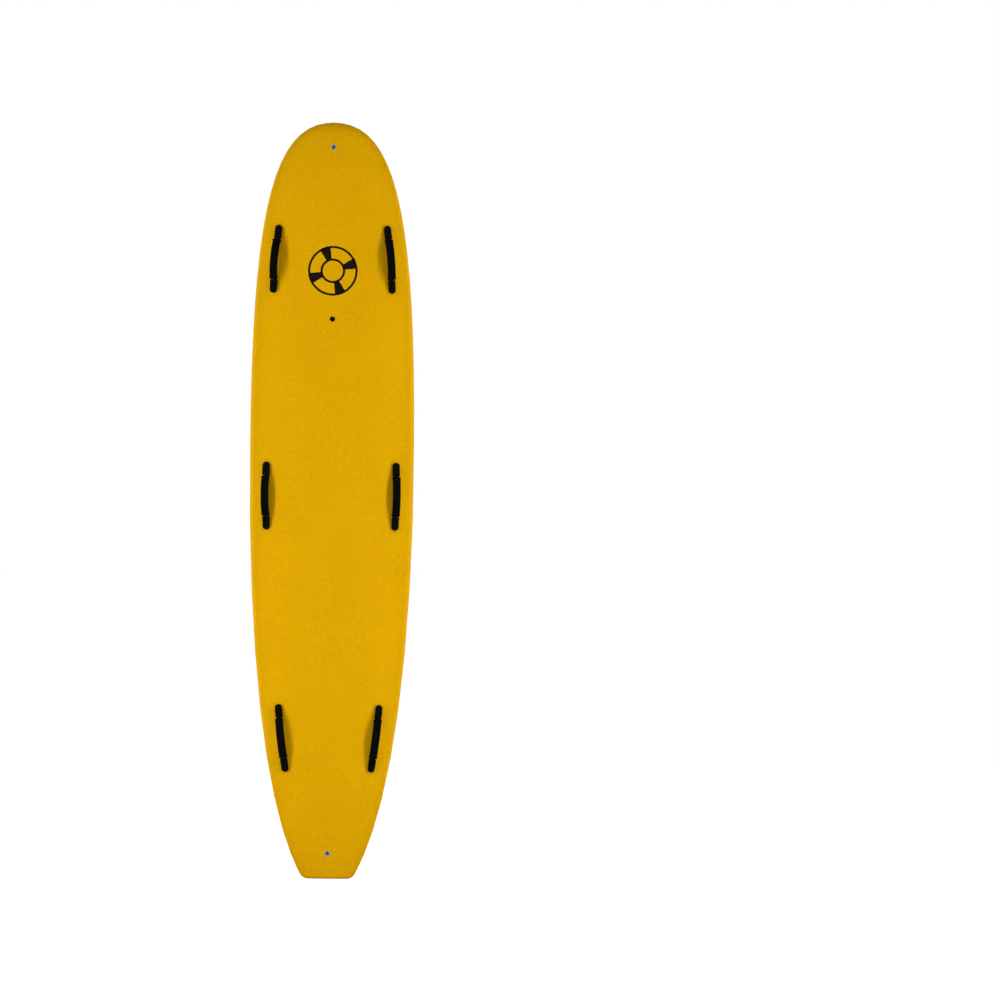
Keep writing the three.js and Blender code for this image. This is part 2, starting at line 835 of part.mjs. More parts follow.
function makeFinBox(group) {
  const outlineShape = new THREE.Shape();
  const half = finBoxWidth / 2;
  const inner = half - finBoxEndRadius;
  outlineShape.absarc(inner, finBoxEndRadius, finBoxEndRadius, -Math.PI / 2, 0, false);
  const topArc = finBoxLength - finBoxEndRadius;
  outlineShape.absarc(inner, topArc, finBoxEndRadius, 0, Math.PI / 2, false);
  outlineShape.absarc(-inner, topArc, finBoxEndRadius, Math.PI / 2, Math.PI, false);
  outlineShape.absarc(-inner, finBoxEndRadius, finBoxEndRadius, Math.PI, (3 * Math.PI) / 2, false);
  const body = (growth, depth, above) =>
    solidOf(
      new THREE.ExtrudeGeometry(outlineShape, {
        depth: depth + above,
        bevelEnabled: false,
        curveSegments: finBoxEndSides,
      })
        .translate(0, -finBoxLength / 2, 0)
        .scale(1 + (2 * growth) / finBoxWidth, 1 + (2 * growth) / finBoxLength, 1)
        .translate(0, finBoxLength / 2, 0)
        .rotateX(Math.PI / 2)
        .translate(0, above, 0),
    );
  const slot = boxInFinFrame(
    slotWidth / 2,
    -overrun,
    finBoxDepth - slotFloor,
    slotEndWall,
    finBoxLength - slotEndWall,
  );
  const channel = boxInFinFrame(
    channelWidth / 2,
    channelDepth,
    channelDepth + channelHeight,
    slotEndWall,
    finBoxLength - slotEndWall,
  );
  const notchTop = finBoxLength - notchFromNose;
  const notch = boxInFinFrame(
    notchWidth / 2,
    -overrun,
    channelDepth + channelHeight,
    notchTop - notchLength,
    notchTop,
  );
  const made = body(0, finBoxDepth, 0).subtract(slot).subtract(channel).subtract(notch);
  add(group, "fin_box", made, boxPlastic);
  const pocket = movedBy(body(seatGap, finBoxDepth + seatGap, overrun), finBoxMatrix);
  slickCuts.push(pocket);
  coreCuts.push(pocket);
}

// The fin's two edges, each a curve from the base to its side of the blunt tip
const finTop = finBoxLength - slotEndWall - finFromSlotEnd;

function finEdge(baseHeight, [depth1, rake1, depth2, rake2, tipDepth, tipRake]) {
  return new THREE.CubicBezierCurve(
    new THREE.Vector2(finBaseGap, baseHeight),
    new THREE.Vector2(finDepth * depth1, finTop - finRake * rake1),
    new THREE.Vector2(finDepth * depth2, finTop - finRake * rake2),
    new THREE.Vector2(finDepth * tipDepth, finTop - finRake * tipRake),
  );
}

// A foil section in shares of its chord and thickness, from the leading edge round to it again.
function foilOutline() {
  const side = finFoilShares.map((share, i) => new THREE.Vector2(finFoilFullShares[i], share));
  side.push(new THREE.Vector2(finFoilFullShares[0] / 2, 1));
  const other = side.map((point) => new THREE.Vector2(-point.x, point.y)).reverse();
  return [...side, ...other];
}

function finBlade() {
  const lead = finEdge(finTop, finLeadShares);
  const trail = finEdge(finTop - finBaseLength, finTrailShares);
  const section = foilOutline();
  const stops = [];
  for (let i = 0; i <= finStations; i++) stops.push([(finTipShare * i) / finStations, 1]);
  for (let i = 1; i <= finTipStations; i++) {
    const turn = ((i / (finTipStations + 1 / 2)) * Math.PI) / 2;
    stops.push([finTipShare + (1 - finTipShare) * Math.sin(turn), Math.cos(turn)]);
  }
  const rings = stops.map(([share, chordShare]) => {
    const front = lead.getPoint(share);
    const back = trail.getPoint(share);
    const thickness = THREE.MathUtils.lerp(finThickness, finTipThickness, share) * chordShare;
    return section.map((point) => {
      const across = 1 / 2 + (point.y - 1 / 2) * chordShare;
      const edge = front.clone().lerp(back, across);
      return new THREE.Vector3((point.x * thickness) / 2, edge.x, edge.y);
    });
  });
  return loft(rings, section, section);
}

function makeFin(group) {
  const tangHalf = slotWidth / 2 - finSlideClearance;
  const tangBottom = finTop - finTangLength;
  const tangTop = -finBaseGap - weldDistance;
  const tang = boxInFinFrame(tangHalf, tangTop, finTangDepth, tangBottom, finTop);
  const plateDepth = channelDepth + finSlideClearance;
  const tab = boxInFinFrame(
    tangHalf,
    plateDepth - finTabThickness,
    plateDepth - seatGap,
    tangBottom - finTabLength,
    tangBottom + finTabThickness,
  );
  const pinDepth = -(channelDepth + channelHeight / 2);
  const pinHeight = finTop - finPinFromFront;
  const pinHole = rodAlongX(finPinRadius + seatGap, slotWidth, pinDepth, pinHeight, roundSides);
  const screwHeight = tangBottom - finTabLength / 2;
  const toScrew = new THREE.Matrix4().makeTranslation(0, 0, screwHeight);
  const screwHole = movedBy(
    rodAlongY(finScrewRadius + seatGap, -finBoxDepth, overrun, screwSides),
    toScrew,
  );
  const blade = finBlade().add(tang).add(tab).subtract(pinHole).subtract(screwHole);
  add(group, "fin", blade, blackPlastic);
  const pin = rodAlongX(finPinRadius, finPinLength, pinDepth, pinHeight, roundSides);
  add(group, "fin_pin", pin, stainless);
  const plate = boxInFinFrame(
    finPlateWidth / 2,
    plateDepth,
    plateDepth + finPlateThickness,
    screwHeight - finPlateLength / 2,
    screwHeight + finPlateLength / 2,
  );
  add(group, "fin_plate", plate.subtract(screwHole), stainless);
  const headBottom = -(plateDepth - finTabThickness) + seatGap;
  const screw = turned(
    [
      [0, headBottom + finScrewHeadHeight],
      [finScrewHeadRadius, headBottom + finScrewHeadHeight],
      [finScrewHeadRadius, headBottom],
      [finScrewRadius, headBottom],
      [finScrewRadius, -plateDepth - finPlateThickness],
      [0, -plateDepth - finPlateThickness],
    ],
    screwSides,
  );
  add(group, "fin_screw", movedBy(screw, toScrew), stainless);
}

const finGroup = groupAt(finBoxMatrix);
makeFinBox(finGroup);
makeFin(finGroup);

// Hull layers, cut for all that is let into them
const cutFrom = (solid, cuts) => cuts.reduce((left, cut) => left.subtract(cut), solid);

function makeHull() {
  const cavity = hullSolid(foamThickness, foamLip, overrun, slickTrimLength);
  const foam = hullSolid(0, 0, 0, 0).subtract(cavity);
  add(board, "deck_foam_skin", cutFrom(foam, skinCuts), yellowFoam);
  add(board, "bottom_slick_skin", cutFrom(slickSolid(), slickCuts), whiteSlick);
  const core = cutFrom(innerHull, coreCuts);
  const half = stringerThickness / 2;
  const slab = (from, to) =>
    boxSolid(
      new THREE.Vector3(from, -boardWidth, -overrun),
      new THREE.Vector3(to, boardWidth, boardLength + overrun),
    );
  add(board, "foam_core_left", core.intersect(slab(-boardWidth, -half - seatGap)), whiteFoam);
  add(board, "centre_stringer", core.intersect(slab(-half, half)), birchPly);
  add(board, "foam_core_right", core.intersect(slab(half + seatGap, boardWidth)), whiteFoam);
}

makeHull();

export default board;
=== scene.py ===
import json
import math

import bpy
from mathutils import Matrix
from mathutils import Vector


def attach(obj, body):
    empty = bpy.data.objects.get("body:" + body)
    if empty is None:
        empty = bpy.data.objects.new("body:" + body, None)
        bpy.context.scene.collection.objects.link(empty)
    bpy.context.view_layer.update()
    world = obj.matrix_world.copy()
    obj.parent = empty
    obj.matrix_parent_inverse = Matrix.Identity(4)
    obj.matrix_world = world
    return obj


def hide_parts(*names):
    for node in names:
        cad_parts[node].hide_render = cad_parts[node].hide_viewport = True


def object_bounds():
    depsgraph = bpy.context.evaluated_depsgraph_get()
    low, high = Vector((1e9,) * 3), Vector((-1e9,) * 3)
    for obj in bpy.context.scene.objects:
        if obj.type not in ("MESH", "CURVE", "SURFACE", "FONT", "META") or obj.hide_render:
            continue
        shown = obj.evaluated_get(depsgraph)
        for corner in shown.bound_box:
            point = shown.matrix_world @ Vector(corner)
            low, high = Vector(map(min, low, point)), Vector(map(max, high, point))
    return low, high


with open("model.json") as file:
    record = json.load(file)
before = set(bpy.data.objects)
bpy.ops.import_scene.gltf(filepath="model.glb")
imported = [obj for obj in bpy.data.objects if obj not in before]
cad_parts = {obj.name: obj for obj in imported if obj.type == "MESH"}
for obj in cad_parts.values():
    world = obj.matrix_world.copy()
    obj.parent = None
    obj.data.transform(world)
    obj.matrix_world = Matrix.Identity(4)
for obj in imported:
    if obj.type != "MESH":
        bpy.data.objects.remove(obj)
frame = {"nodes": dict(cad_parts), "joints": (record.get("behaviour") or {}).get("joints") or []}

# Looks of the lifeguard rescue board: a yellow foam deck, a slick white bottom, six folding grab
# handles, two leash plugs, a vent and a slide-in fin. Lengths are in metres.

CAD_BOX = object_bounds()
NODES = frame["nodes"]
JOINTS = {joint["name"]: joint for joint in frame["joints"]}
MM = 0.001
WELD = 0.01 * MM
OUT_OF_DECK = Vector((0, -1, 0))
UP = Vector((0, 0, 1))

# The grab handles' webbing, its end clips, and the padded sleeve with a binding at each mouth
STRAP_WIDTH = 25 * MM
STRAP_THICKNESS = 3.6 * MM
LOOP_HALF = 86 * MM
LOOP_FULLNESS = 56 * MM
CREST_SHARE = 0.75
CLIP_SIZE = (26 * MM, 8 * MM, 9.2 * MM)
CLIP_MIDDLE = 83 * MM
PIN_RADIUS = 4.2 * MM
PIN_LENGTH = 12 * MM
PIN_MIDDLE = 90.4 * MM
SLEEVE_WIDTH = 33 * MM
SLEEVE_THICKNESS = 20 * MM
SLEEVE_SQUARENESS = 2.7
SLEEVE_SIDES = 40
SLEEVE_END = 0.06
BINDING_GROWTH = 2.1 * MM
BINDING_SHARE = 0.03

# The caps' screws
HEAD_HEIGHT = 2.6 * MM

# The light: how much comes from all round, and each lamp's power in watts
AMBIENT = 0.35
FLOOR_GLOW = 0.8
STRIP_POWER = 21.5
FOOT_POWER = 1.4
FAR_POWER = 220


def linear(hex_colour):
    """An sRGB hex colour as linear RGBA."""
    channels = [int(hex_colour[i:i + 2], 16) / 255 for i in (0, 2, 4)]
    turned = [c / 12.92 if c <= 0.04045 else ((c + 0.055) / 1.055) ** 2.4 for c in channels]
    return (*turned, 1)


def add(tree, kind, sockets=None, **settings):
    """Adds one node, with its settings, and with a value or a link on each socket named."""
    made = tree.nodes.new(kind)
    for name, value in settings.items():
        setattr(made, name, value)
    for name, value in (sockets or {}).items():
        if isinstance(value, bpy.types.NodeSocket):
            tree.links.new(value, made.inputs[name])
        else:
            made.inputs[name].default_value = value
    return made


def finish(name, colour, roughness, **sockets):
    """A material whose shader has plain values, ready for a pattern."""
    material = bpy.data.materials.new(name)
    material.use_nodes = True
    tree = material.node_tree
    shader = tree.nodes["Principled BSDF"]
    shader.inputs["Base Color"].default_value = linear(colour)
    shader.inputs["Roughness"].default_value = roughness
    for socket, value in sockets.items():
        shader.inputs[socket.replace("_", " ")].default_value = value
    return material, tree, shader


def ramp(tree, factor, stops):
    """A colour ramp over a factor, from (position, hex colour) pairs."""
    made = add(tree, "ShaderNodeValToRGB", {"Fac": factor})
    elements = made.color_ramp.elements
    while len(elements) < len(stops):
        elements.new(0.5)
    for element, (position, colour) in zip(elements, stops):
        element.position = position
        element.color = linear(colour)
    return made.outputs["Color"]


def relief(tree, shader, height, depth, strength=1):
    """Bumps a shader's normal by a height pattern that is depth metres deep."""
    bump = add(tree, "ShaderNodeBump", {"Height": height, "Distance": depth, "Strength": strength})
    tree.links.new(bump.outputs["Normal"], shader.inputs["Normal"])
    return bump


def grain(tree, place, size, detail=2, kind="ShaderNodeTexNoise"):
    """A noise or cell pattern whose grain is size metres across."""
    sockets = {"Vector": place, "Scale": 1 / size}
    if kind == "ShaderNodeTexNoise":
        sockets["Detail"] = detail
        return add(tree, kind, sockets).outputs["Fac"]
    return add(tree, kind, sockets).outputs["Distance"]


def object_place(tree):
    return add(tree, "ShaderNodeTexCoord").outputs["Object"]


def own_uv(tree):
    return add(tree, "ShaderNodeUVMap", uv_map="lengths").outputs["UV"]


def foam_deck():
    """Closed-cell foam skin, heat laminated: a matte golden yellow with a fine pebbled grain.

    The flecks are drawn coarser than the foam's cells, so that they show from far off.
    """
    material, tree, shader = finish("yellow_foam_skin", "dda700", 0.8, Specular_IOR_Level=0.03)
    place = object_place(tree)
    pebbles = grain(tree, place, 2.6 * MM, kind="ShaderNodeTexVoronoi")
    cloud = grain(tree, place, 180 * MM, detail=4)
    fleck = grain(tree, place, 5.5 * MM, detail=1)
    tone = ramp(tree, cloud, [(0.3, "dba500"), (0.7, "dfa900")])
    flecks = ramp(tree, fleck, [(0.35, "e6dcdc"), (0.65, "ffffff")])
    colour = add(
        tree, "ShaderNodeMix", {0: 0.6, 6: tone, 7: flecks},
        data_type="RGBA", blend_type="MULTIPLY",
    )
    tree.links.new(colour.outputs[2], shader.inputs["Base Color"])
    relief(tree, shader, pebbles, 0.35 * MM, 0.5)
    return material


def slick_bottom():
    """Polyethylene sheet, rolled smooth: satin white with faint long scuffs from sand."""
    material, tree, shader = finish("white_slick_sheet", "dadbd6", 0.4, Specular_IOR_Level=0.3)
    place = object_place(tree)
    stretched = add(tree, "ShaderNodeMapping", {"Vector": place, "Scale": (1, 1, 0.04)})
    scuffs = grain(tree, stretched.outputs["Vector"], 3 * MM, detail=5)
    cloud = grain(tree, place, 220 * MM, detail=3)
    tone = ramp(tree, cloud, [(0.3, "d8d9d3"), (0.7, "dddeda")])
    tree.links.new(tone, shader.inputs["Base Color"])
    worn = ramp(tree, scuffs, [(0.35, "a0a0a0"), (0.62, "bcbcbc")])
    tree.links.new(worn, shader.inputs["Roughness"])
    relief(tree, shader, scuffs, 0.08 * MM, 0.5)
    return material


def bead_foam():
    """Expanded bead foam, steam moulded: white, with the outlines of its beads."""
    material, tree, shader = finish("white_bead_foam", "f1efe6", 0.8)
    beads = grain(tree, object_place(tree), 5 * MM, kind="ShaderNodeTexVoronoi")
    tone = ramp(tree, beads, [(0.3, "f4f2ea"), (0.75, "dcd9cd")])
    tree.links.new(tone, shader.inputs["Base Color"])
    relief(tree, shader, beads, 0.5 * MM, 0.6)
    return material


def stringer_wood():
    """Birch ply strip, sawn and sanded: pale brown with its grain along the board."""
    material, tree, shader = finish("birch_ply", "c39a68", 0.55)
    place = add(
        tree, "ShaderNodeMapping",
        {"Vector": object_place(tree), "Scale": (1, 1, 0.05)},
    )
    rings = grain(tree, place.outputs["Vector"], 4 * MM, detail=5)
    tone = ramp(tree, rings, [(0.35, "a97e4c"), (0.65, "cfa878")])
    tree.links.new(tone, shader.inputs["Base Color"])
    relief(tree, shader, rings, 0.15 * MM, 0.5)
    return material


def moulded_plastic(name, colour, roughness, texture_size, texture_depth, gloss=0.5):
    """Injection-moulded plastic with a fine spark-eroded texture and a slightly uneven gloss.

    Moulded rubber and twisted thread take the same pattern, duller.
    """
    polished = 0.06
    dulled = 0.08
    material, tree, shader = finish(name, colour, roughness, Specular_IOR_Level=gloss)
    place = object_place(tree)
    texture = grain(tree, place, texture_size, detail=3)
    handled = grain(tree, place, 22 * MM, detail=3)
    spread = add(
        tree, "ShaderNodeMapRange",
        {"Value": handled, "From Min": 0.3, "From Max": 0.7,
         "To Min": roughness - polished, "To Max": roughness + dulled},
    )
    tree.links.new(spread.outputs["Result"], shader.inputs["Roughness"])
    relief(tree, shader, texture, texture_depth, 0.6)
    return material


def leash_plug_plastic(place):
    """Blue-grey plastic, moulded: pale at the rim, darkening to olive brown deep in the cup, which
    is painted shade of the deep cup and partly stain from sand.
    """
    # Depths below the rim where the painted shade and sand stain begin and where they are full.
    shade_and_stain_start = 1.5 * MM
    shade_and_stain_full = 7 * MM
    material, tree, shader = finish("blue_grey_plastic", "a4b4bc", 0.4, Specular_IOR_Level=0.3)
    normal = (place.to_3x3() @ Vector((0, 1, 0))).normalized()
    centre = place.translation
    depth = add(
        tree, "ShaderNodeVectorMath",
        {0: object_place(tree), 1: tuple(-normal)}, operation="DOT_PRODUCT",
    ).outputs["Value"]
    rim = -centre.dot(normal)
    share = add(
        tree, "ShaderNodeMapRange",
        {"Value": depth, "From Min": rim + shade_and_stain_start, "From Max": rim + shade_and_stain_full},
    ).outputs["Result"]
    # Painted shade: the colour runs from the pale rim to olive brown with depth in the cup,
    # standing in for the shade inside it, with some sand stain.
    tone = ramp(tree, share, [(0, "a4b4bc"), (1, "857f62")])
    tree.links.new(tone, shader.inputs["Base Color"])
    texture = grain(tree, object_place(tree), 1.5 * MM, detail=3)
    relief(tree, shader, texture, 0.03 * MM, 0.6)
    return material


def turned_steel(name, colour, roughness):
    """Steel, turned and tumbled: bare grey, stained or blackened, with fine turning lines."""
    polished = 0.08
    scored = 0.12
    material, tree, shader = finish(name, colour, roughness, Metallic=1)
    place = object_place(tree)
    lines = grain(tree, place, 0.5 * MM, detail=2)
    spread = add(
        tree, "ShaderNodeMapRange",
        {"Value": lines, "To Min": roughness - polished, "To Max": roughness + scored},
    )
    tree.links.new(spread.outputs["Result"], shader.inputs["Roughness"])
    relief(tree, shader, lines, 0.03 * MM, 0.5)
    return material


def woven_webbing():
    """Nylon webbing, woven: black, with warp ribs along it and a weft step across each rib."""
    rib = 1.6 * MM
    step = 2.2 * MM
    material, tree, shader = finish("black_webbing", "0a0a0b", 0.85, Specular_IOR_Level=0.02)
    place = add(
        tree, "ShaderNodeMapping",
        {"Vector": own_uv(tree), "Scale": (1 / rib, 1 / step, 1)},
    ).outputs["Vector"]
    woven = add(tree, "ShaderNodeTexBrick", {
        "Vector": place, "Color1": (1, 1, 1, 1), "Color2": (0.85, 0.85, 0.85, 1),
        "Mortar": (0, 0, 0, 1), "Scale": 1, "Mortar Size": 0.12, "Mortar Smooth": 0.8,
        "Brick Width": 1, "Row Height": 0.5,
    })
    tone = ramp(tree, woven.outputs["Color"], [(0.0, "030303"), (1.0, "0f0f10")])
    tree.links.new(tone, shader.inputs["Base Color"])
    relief(tree, shader, woven.outputs["Color"], 0.4 * MM, 0.8)
    return material


def neoprene_jersey():
    """Neoprene faced with knitted jersey: dull black with fine rows of knit and soft creases."""
    knit_row = 1.4 * MM
    material, tree, shader = finish("black_neoprene", "070707", 0.9, Specular_IOR_Level=0.02)
    uv = own_uv(tree)
    rows = add(
        tree, "ShaderNodeTexWave",
        {"Vector": uv, "Scale": 1 / knit_row / math.tau, "Distortion": 0.6, "Detail": 1},
        wave_type="BANDS", bands_direction="X",
    ).outputs["Fac"]
    creases = grain(tree, object_place(tree), 14 * MM, detail=3)
    knit = relief(tree, shader, rows, 0.12 * MM, 0.6)
    folds = add(
        tree, "ShaderNodeBump", {"Height": creases, "Distance": 1.2 * MM, "Strength": 0.5},
    )
    tree.links.new(folds.outputs["Normal"], knit.inputs["Normal"])
    tone = ramp(tree, creases, [(0.3, "050505"), (0.7, "0a0a0a")])
    tree.links.new(tone, shader.inputs["Base Color"])
    return material


def screen_ink(name, colour):
    """Screen-printed ink: a thin satin layer, slightly uneven where the squeegee passed."""
    material, tree, shader = finish(name, colour, 0.6, Specular_IOR_Level=0.02)
    place = object_place(tree)
    pull = add(tree, "ShaderNodeMapping", {"Vector": place, "Scale": (1, 1, 0.15)})
    streaks = grain(tree, pull.outputs["Vector"], 6 * MM, detail=4)
    spread = add(
        tree, "ShaderNodeMapRange", {"Value": streaks, "To Min": 0.52, "To Max": 0.7},
    )
    tree.links.new(spread.outputs["Result"], shader.inputs["Roughness"])
    return material


def take(piece):
    """Makes a piece the only one selected, and active."""
    bpy.ops.object.select_all(action="DESELECT")
    piece.select_set(True)
    bpy.context.view_layer.objects.active = piece
    return piece


def named(name):
    """Names the object that an operator has just added."""
    piece = bpy.context.active_object
    piece.name = name
    piece.data.name = name
    return piece


def modify(piece, kind, **settings):
    """Adds a modifier with its settings and applies it."""
    take(piece)
    modifier = piece.modifiers.new(kind, kind)
    for name, value in settings.items():
        setattr(modifier, name, value)
    bpy.ops.object.modifier_apply(modifier=modifier.name)


def leave_edit():
    bpy.ops.object.mode_set(mode="OBJECT")


def close_up(piece):
    """Merges a piece's doubles and turns its faces outwards."""
    take(piece)
    bpy.ops.object.mode_set(mode="EDIT")
    bpy.ops.mesh.select_all(action="SELECT")
    bpy.ops.mesh.remove_doubles(threshold=WELD)
    bpy.ops.mesh.normals_make_consistent(inside=False)
    leave_edit()


def smooth(piece, degrees=35):
    take(piece)
    bpy.ops.object.shade_smooth_by_angle(angle=math.radians(degrees))


def fix(piece, place, body, material, slot, *nodes):
    """Puts a finished piece in its place, on its body, with its material."""
    take(piece)
    piece.matrix_world = place
    bpy.ops.object.transform_apply(location=True, rotation=True, scale=True)
    piece.data.materials.clear()
    piece.data.materials.append(material)
    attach(piece, body)
    if nodes:
        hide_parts(*nodes)
    return piece


def points_of(node):
    return [vertex.co.copy() for vertex in NODES[node].data.vertices]


def centre_of(node):
    points = points_of(node)
    return sum(points, Vector()) / len(points)


def face_place(node, towards):
    """Where a node's outermost flat face lies: its centre, with Y out of the face."""
    facing_share = 0.97
    flatness = 0.05 * MM
    normal = Vector()
    for face in NODES[node].data.polygons:
        if face.normal.dot(towards) > facing_share:
            normal += face.normal * face.area
    normal.normalize()
    points = points_of(node)
    top = max(point.dot(normal) for point in points)
    rim = [point for point in points if top - point.dot(normal) < flatness]
    low = Vector(min(point[i] for point in rim) for i in range(3))
    high = Vector(max(point[i] for point in rim) for i in range(3))
    centre = (low + high) / 2
    centre += normal * (top - centre.dot(normal))
    return basis(centre, normal, UP)


def basis(origin, out, line):
    """A place with Y along out and Z along line, as near as it can be."""
    across = out.cross(line).normalized()
    along = across.cross(out)
    turn = Matrix((across, out, along)).transposed().to_4x4()
    return Matrix.Translation(origin) @ turn


def handle_place(handle, fold):
    """The hinge line of one handle: Z along it, Y out of the deck."""
    hinge = Vector(JOINTS[fold]["pos_m"])
    line = Vector(JOINTS[fold]["axis"]).normalized()
    out = centre_of(handle + "_grip") - hinge
    out -= line * out.dot(line)
    return basis(hinge, out.normalized(), line)


def turned_piece(name, profile, steps=48):
    """Spins a profile of (radius, height) points about Y, as on a lathe."""
    mesh = bpy.data.meshes.new(name)
    edges = [(i, i + 1) for i in range(len(profile) - 1)]
    mesh.from_pydata([(radius, height, 0) for radius, height in profile], edges, [])
    piece = bpy.data.objects.new(name, mesh)
    bpy.context.scene.collection.objects.link(piece)
    take(piece)
    bpy.ops.object.mode_set(mode="EDIT")
    bpy.ops.mesh.select_all(action="SELECT")
    bpy.ops.mesh.spin(steps=steps, angle=math.tau, center=(0, 0, 0), axis=(0, 1, 0))
    leave_edit()
    close_up(piece)
    return piece


def bevelled(piece, width, segments=2, degrees=30):
    modify(
        piece, "BEVEL", width=width, segments=segments, limit_method="ANGLE",
        angle_limit=math.radians(degrees), harden_normals=False,
    )
    smooth(piece)


def dressed_copy(node, name):
    """A copy of a CAD node's mesh with its loose triangles joined."""
    piece = NODES[node].copy()
    piece.data = NODES[node].data.copy()
    piece.parent = None
    for key in list(piece.keys()):
        del piece[key]
    piece.name = name
    bpy.context.scene.collection.objects.link(piece)
    take(piece)
    bpy.ops.mesh.customdata_custom_splitnormals_clear()
    bpy.ops.object.mode_set(mode="EDIT")
    bpy.ops.mesh.select_all(action="SELECT")
    bpy.ops.mesh.remove_doubles(threshold=WELD)
    leave_edit()
    return piece


def swept(name, stations, round_point):
    """A closed skin over rings of points. Its UV map holds real lengths round and along it."""
    points = []
    for station in stations:
        points += round_point(station)
    count = len(points) // len(stations)
    quads = []
    for ring in range(len(stations) - 1):
        for i in range(count):
            a = ring * count + i
            b = ring * count + (i + 1) % count
            quads.append((a, b, b + count, a + count))
    quads.append(tuple(reversed(range(count))))
    quads.append(tuple(range(len(points) - count, len(points))))
    mesh = bpy.data.meshes.new(name)
    mesh.from_pydata(points, [], quads)
    layer = mesh.uv_layers.new(name="lengths")
    around = [0]
    first = points[:count]
    for i in range(count):
        around.append(around[-1] + (first[(i + 1) % count] - first[i]).length)
    along = [0]
    for ring in range(1, len(stations)):
        step = points[ring * count] - points[(ring - 1) * count]
        along.append(along[-1] + step.length)
    for quad, face in enumerate(mesh.polygons[:-2]):
        ring, i = divmod(quad, count)
        corners = [(i, ring), (i + 1, ring), (i + 1, ring + 1), (i, ring + 1)]
        for loop, (a, b) in zip(face.loop_indices, corners):
            layer.data[loop].uv = (around[a], along[b])
    piece = bpy.data.objects.new(name, mesh)
    bpy.context.scene.collection.objects.link(piece)
    close_up(piece)
    return piece


def soft_ring(width, thickness, squareness, count):
    """Points round a rounded rectangle: x across, y through its thickness."""
    ring = []
    for i in range(count):
        turn = math.tau * (i + 0.5) / count
        x = math.copysign(abs(math.cos(turn)) ** (2 / squareness), math.cos(turn))
        y = math.copysign(abs(math.sin(turn)) ** (2 / squareness), math.sin(turn))
        ring.append((x * width / 2, y * thickness / 2))
    return ring


def hull(paints):
    deck = dressed_copy("deck_foam_skin", "deck_foam")
    smooth(deck)
    fix(deck, Matrix(), "board", paints["deck"], "deck_foam", "deck_foam_skin")
    bottom = dressed_copy("bottom_slick_skin", "bottom_slick")
    smooth(bottom)
    fix(bottom, Matrix(), "board", paints["slick"], "bottom_slick", "bottom_slick_skin")
    return deck, bottom


def lay_on(piece, skin):
    """Lays a flat print on a skin, as a thin layer of ink."""
    lift = 0.25 * MM
    thickness = 0.15 * MM
    modify(
        piece, "SHRINKWRAP", target=skin, wrap_method="PROJECT", use_project_y=True,
        use_positive_direction=True, use_negative_direction=True, offset=lift,
        wrap_mode="ABOVE_SURFACE",
    )
    modify(piece, "SOLIDIFY", thickness=thickness, offset=0)
    close_up(piece)


def joined(pieces, name):
    take(pieces[0])
    for piece in pieces:
        piece.select_set(True)
    bpy.ops.object.join()
    return named(name)


def ring_band(inner, outer, start, sweep, steps):
    """A flat band between two radii, spun about the deck's normal from a start angle."""
    mesh = bpy.data.meshes.new("ring_band")
    rows = 6
    radii = [inner + (outer - inner) * i / rows for i in range(rows + 1)]
    points = [(r * math.cos(start), 0, r * math.sin(start)) for r in radii]
    mesh.from_pydata(points, [(i, i + 1) for i in range(rows)], [])
    piece = bpy.data.objects.new("ring_band", mesh)
    bpy.context.scene.collection.objects.link(piece)
    take(piece)
    bpy.ops.object.mode_set(mode="EDIT")
    bpy.ops.mesh.select_all(action="SELECT")
    bpy.ops.mesh.spin(steps=steps, angle=sweep, center=(0, 0, 0), axis=(0, -1, 0))
    leave_edit()
    close_up(piece)
    return piece


def deck_print(skin, ink):
    """A plain life ring in black ink, between the nose handles."""
    height = 2.574
    clear_of_deck = 20 * MM
    outer = 105 * MM
    hole = 52 * MM
    line = 9 * MM
    wrap = math.radians(26)
    bands = [
        ring_band(outer - line, outer, 0, math.tau, 72),
        ring_band(hole - line, hole, 0, math.tau, 48),
    ]
    for quarter in range(4):
        middle = math.pi / 4 + quarter * math.pi / 2
        bands.append(ring_band(hole - line / 2, outer - line / 2, middle - wrap / 2, wrap, 8))
    ring = joined(bands, "deck_life_ring_print")
    ring.location = (0, CAD_BOX[0][1] - clear_of_deck, height)
    bpy.ops.object.transform_apply(location=True)
    lay_on(ring, skin)
    fix(ring, Matrix(), "board", ink, "deck_foam")


def bottom_print(skin, ink):
    """A row of plain red chevrons up the middle of the bottom, pointing at the nose."""
    stroke_share = 0.46
    low = 1.088
    high = 2.242
    width = 190 * MM
    count = 7
    pitch = (high - low) / count
    stroke = stroke_share * pitch
    chevrons = []
    for i in range(count):
        bpy.ops.mesh.primitive_grid_add(
            x_subdivisions=8, y_subdivisions=2, size=1, location=(0, 0, 0),
            rotation=(math.pi / 2, 0, 0),
        )
        chevron = named("chevron")
        chevron.scale = (width, stroke, 1)
        bpy.ops.object.transform_apply(rotation=True, scale=True)
        middle = low + stroke / 2 + i * pitch
        for vertex in chevron.data.vertices:
            vertex.co.z += middle + stroke * (1 - 2 * abs(vertex.co.x) / width)
            vertex.co.y = CAD_BOX[1][1]
        chevrons.append(chevron)
    row = joined(chevrons, "bottom_chevron_print")
    lay_on(row, skin)
    fix(row, Matrix(), "board", ink, "bottom_slick")


def scaled(profile):
    return [(radius * MM, height * MM) for radius, height in profile]


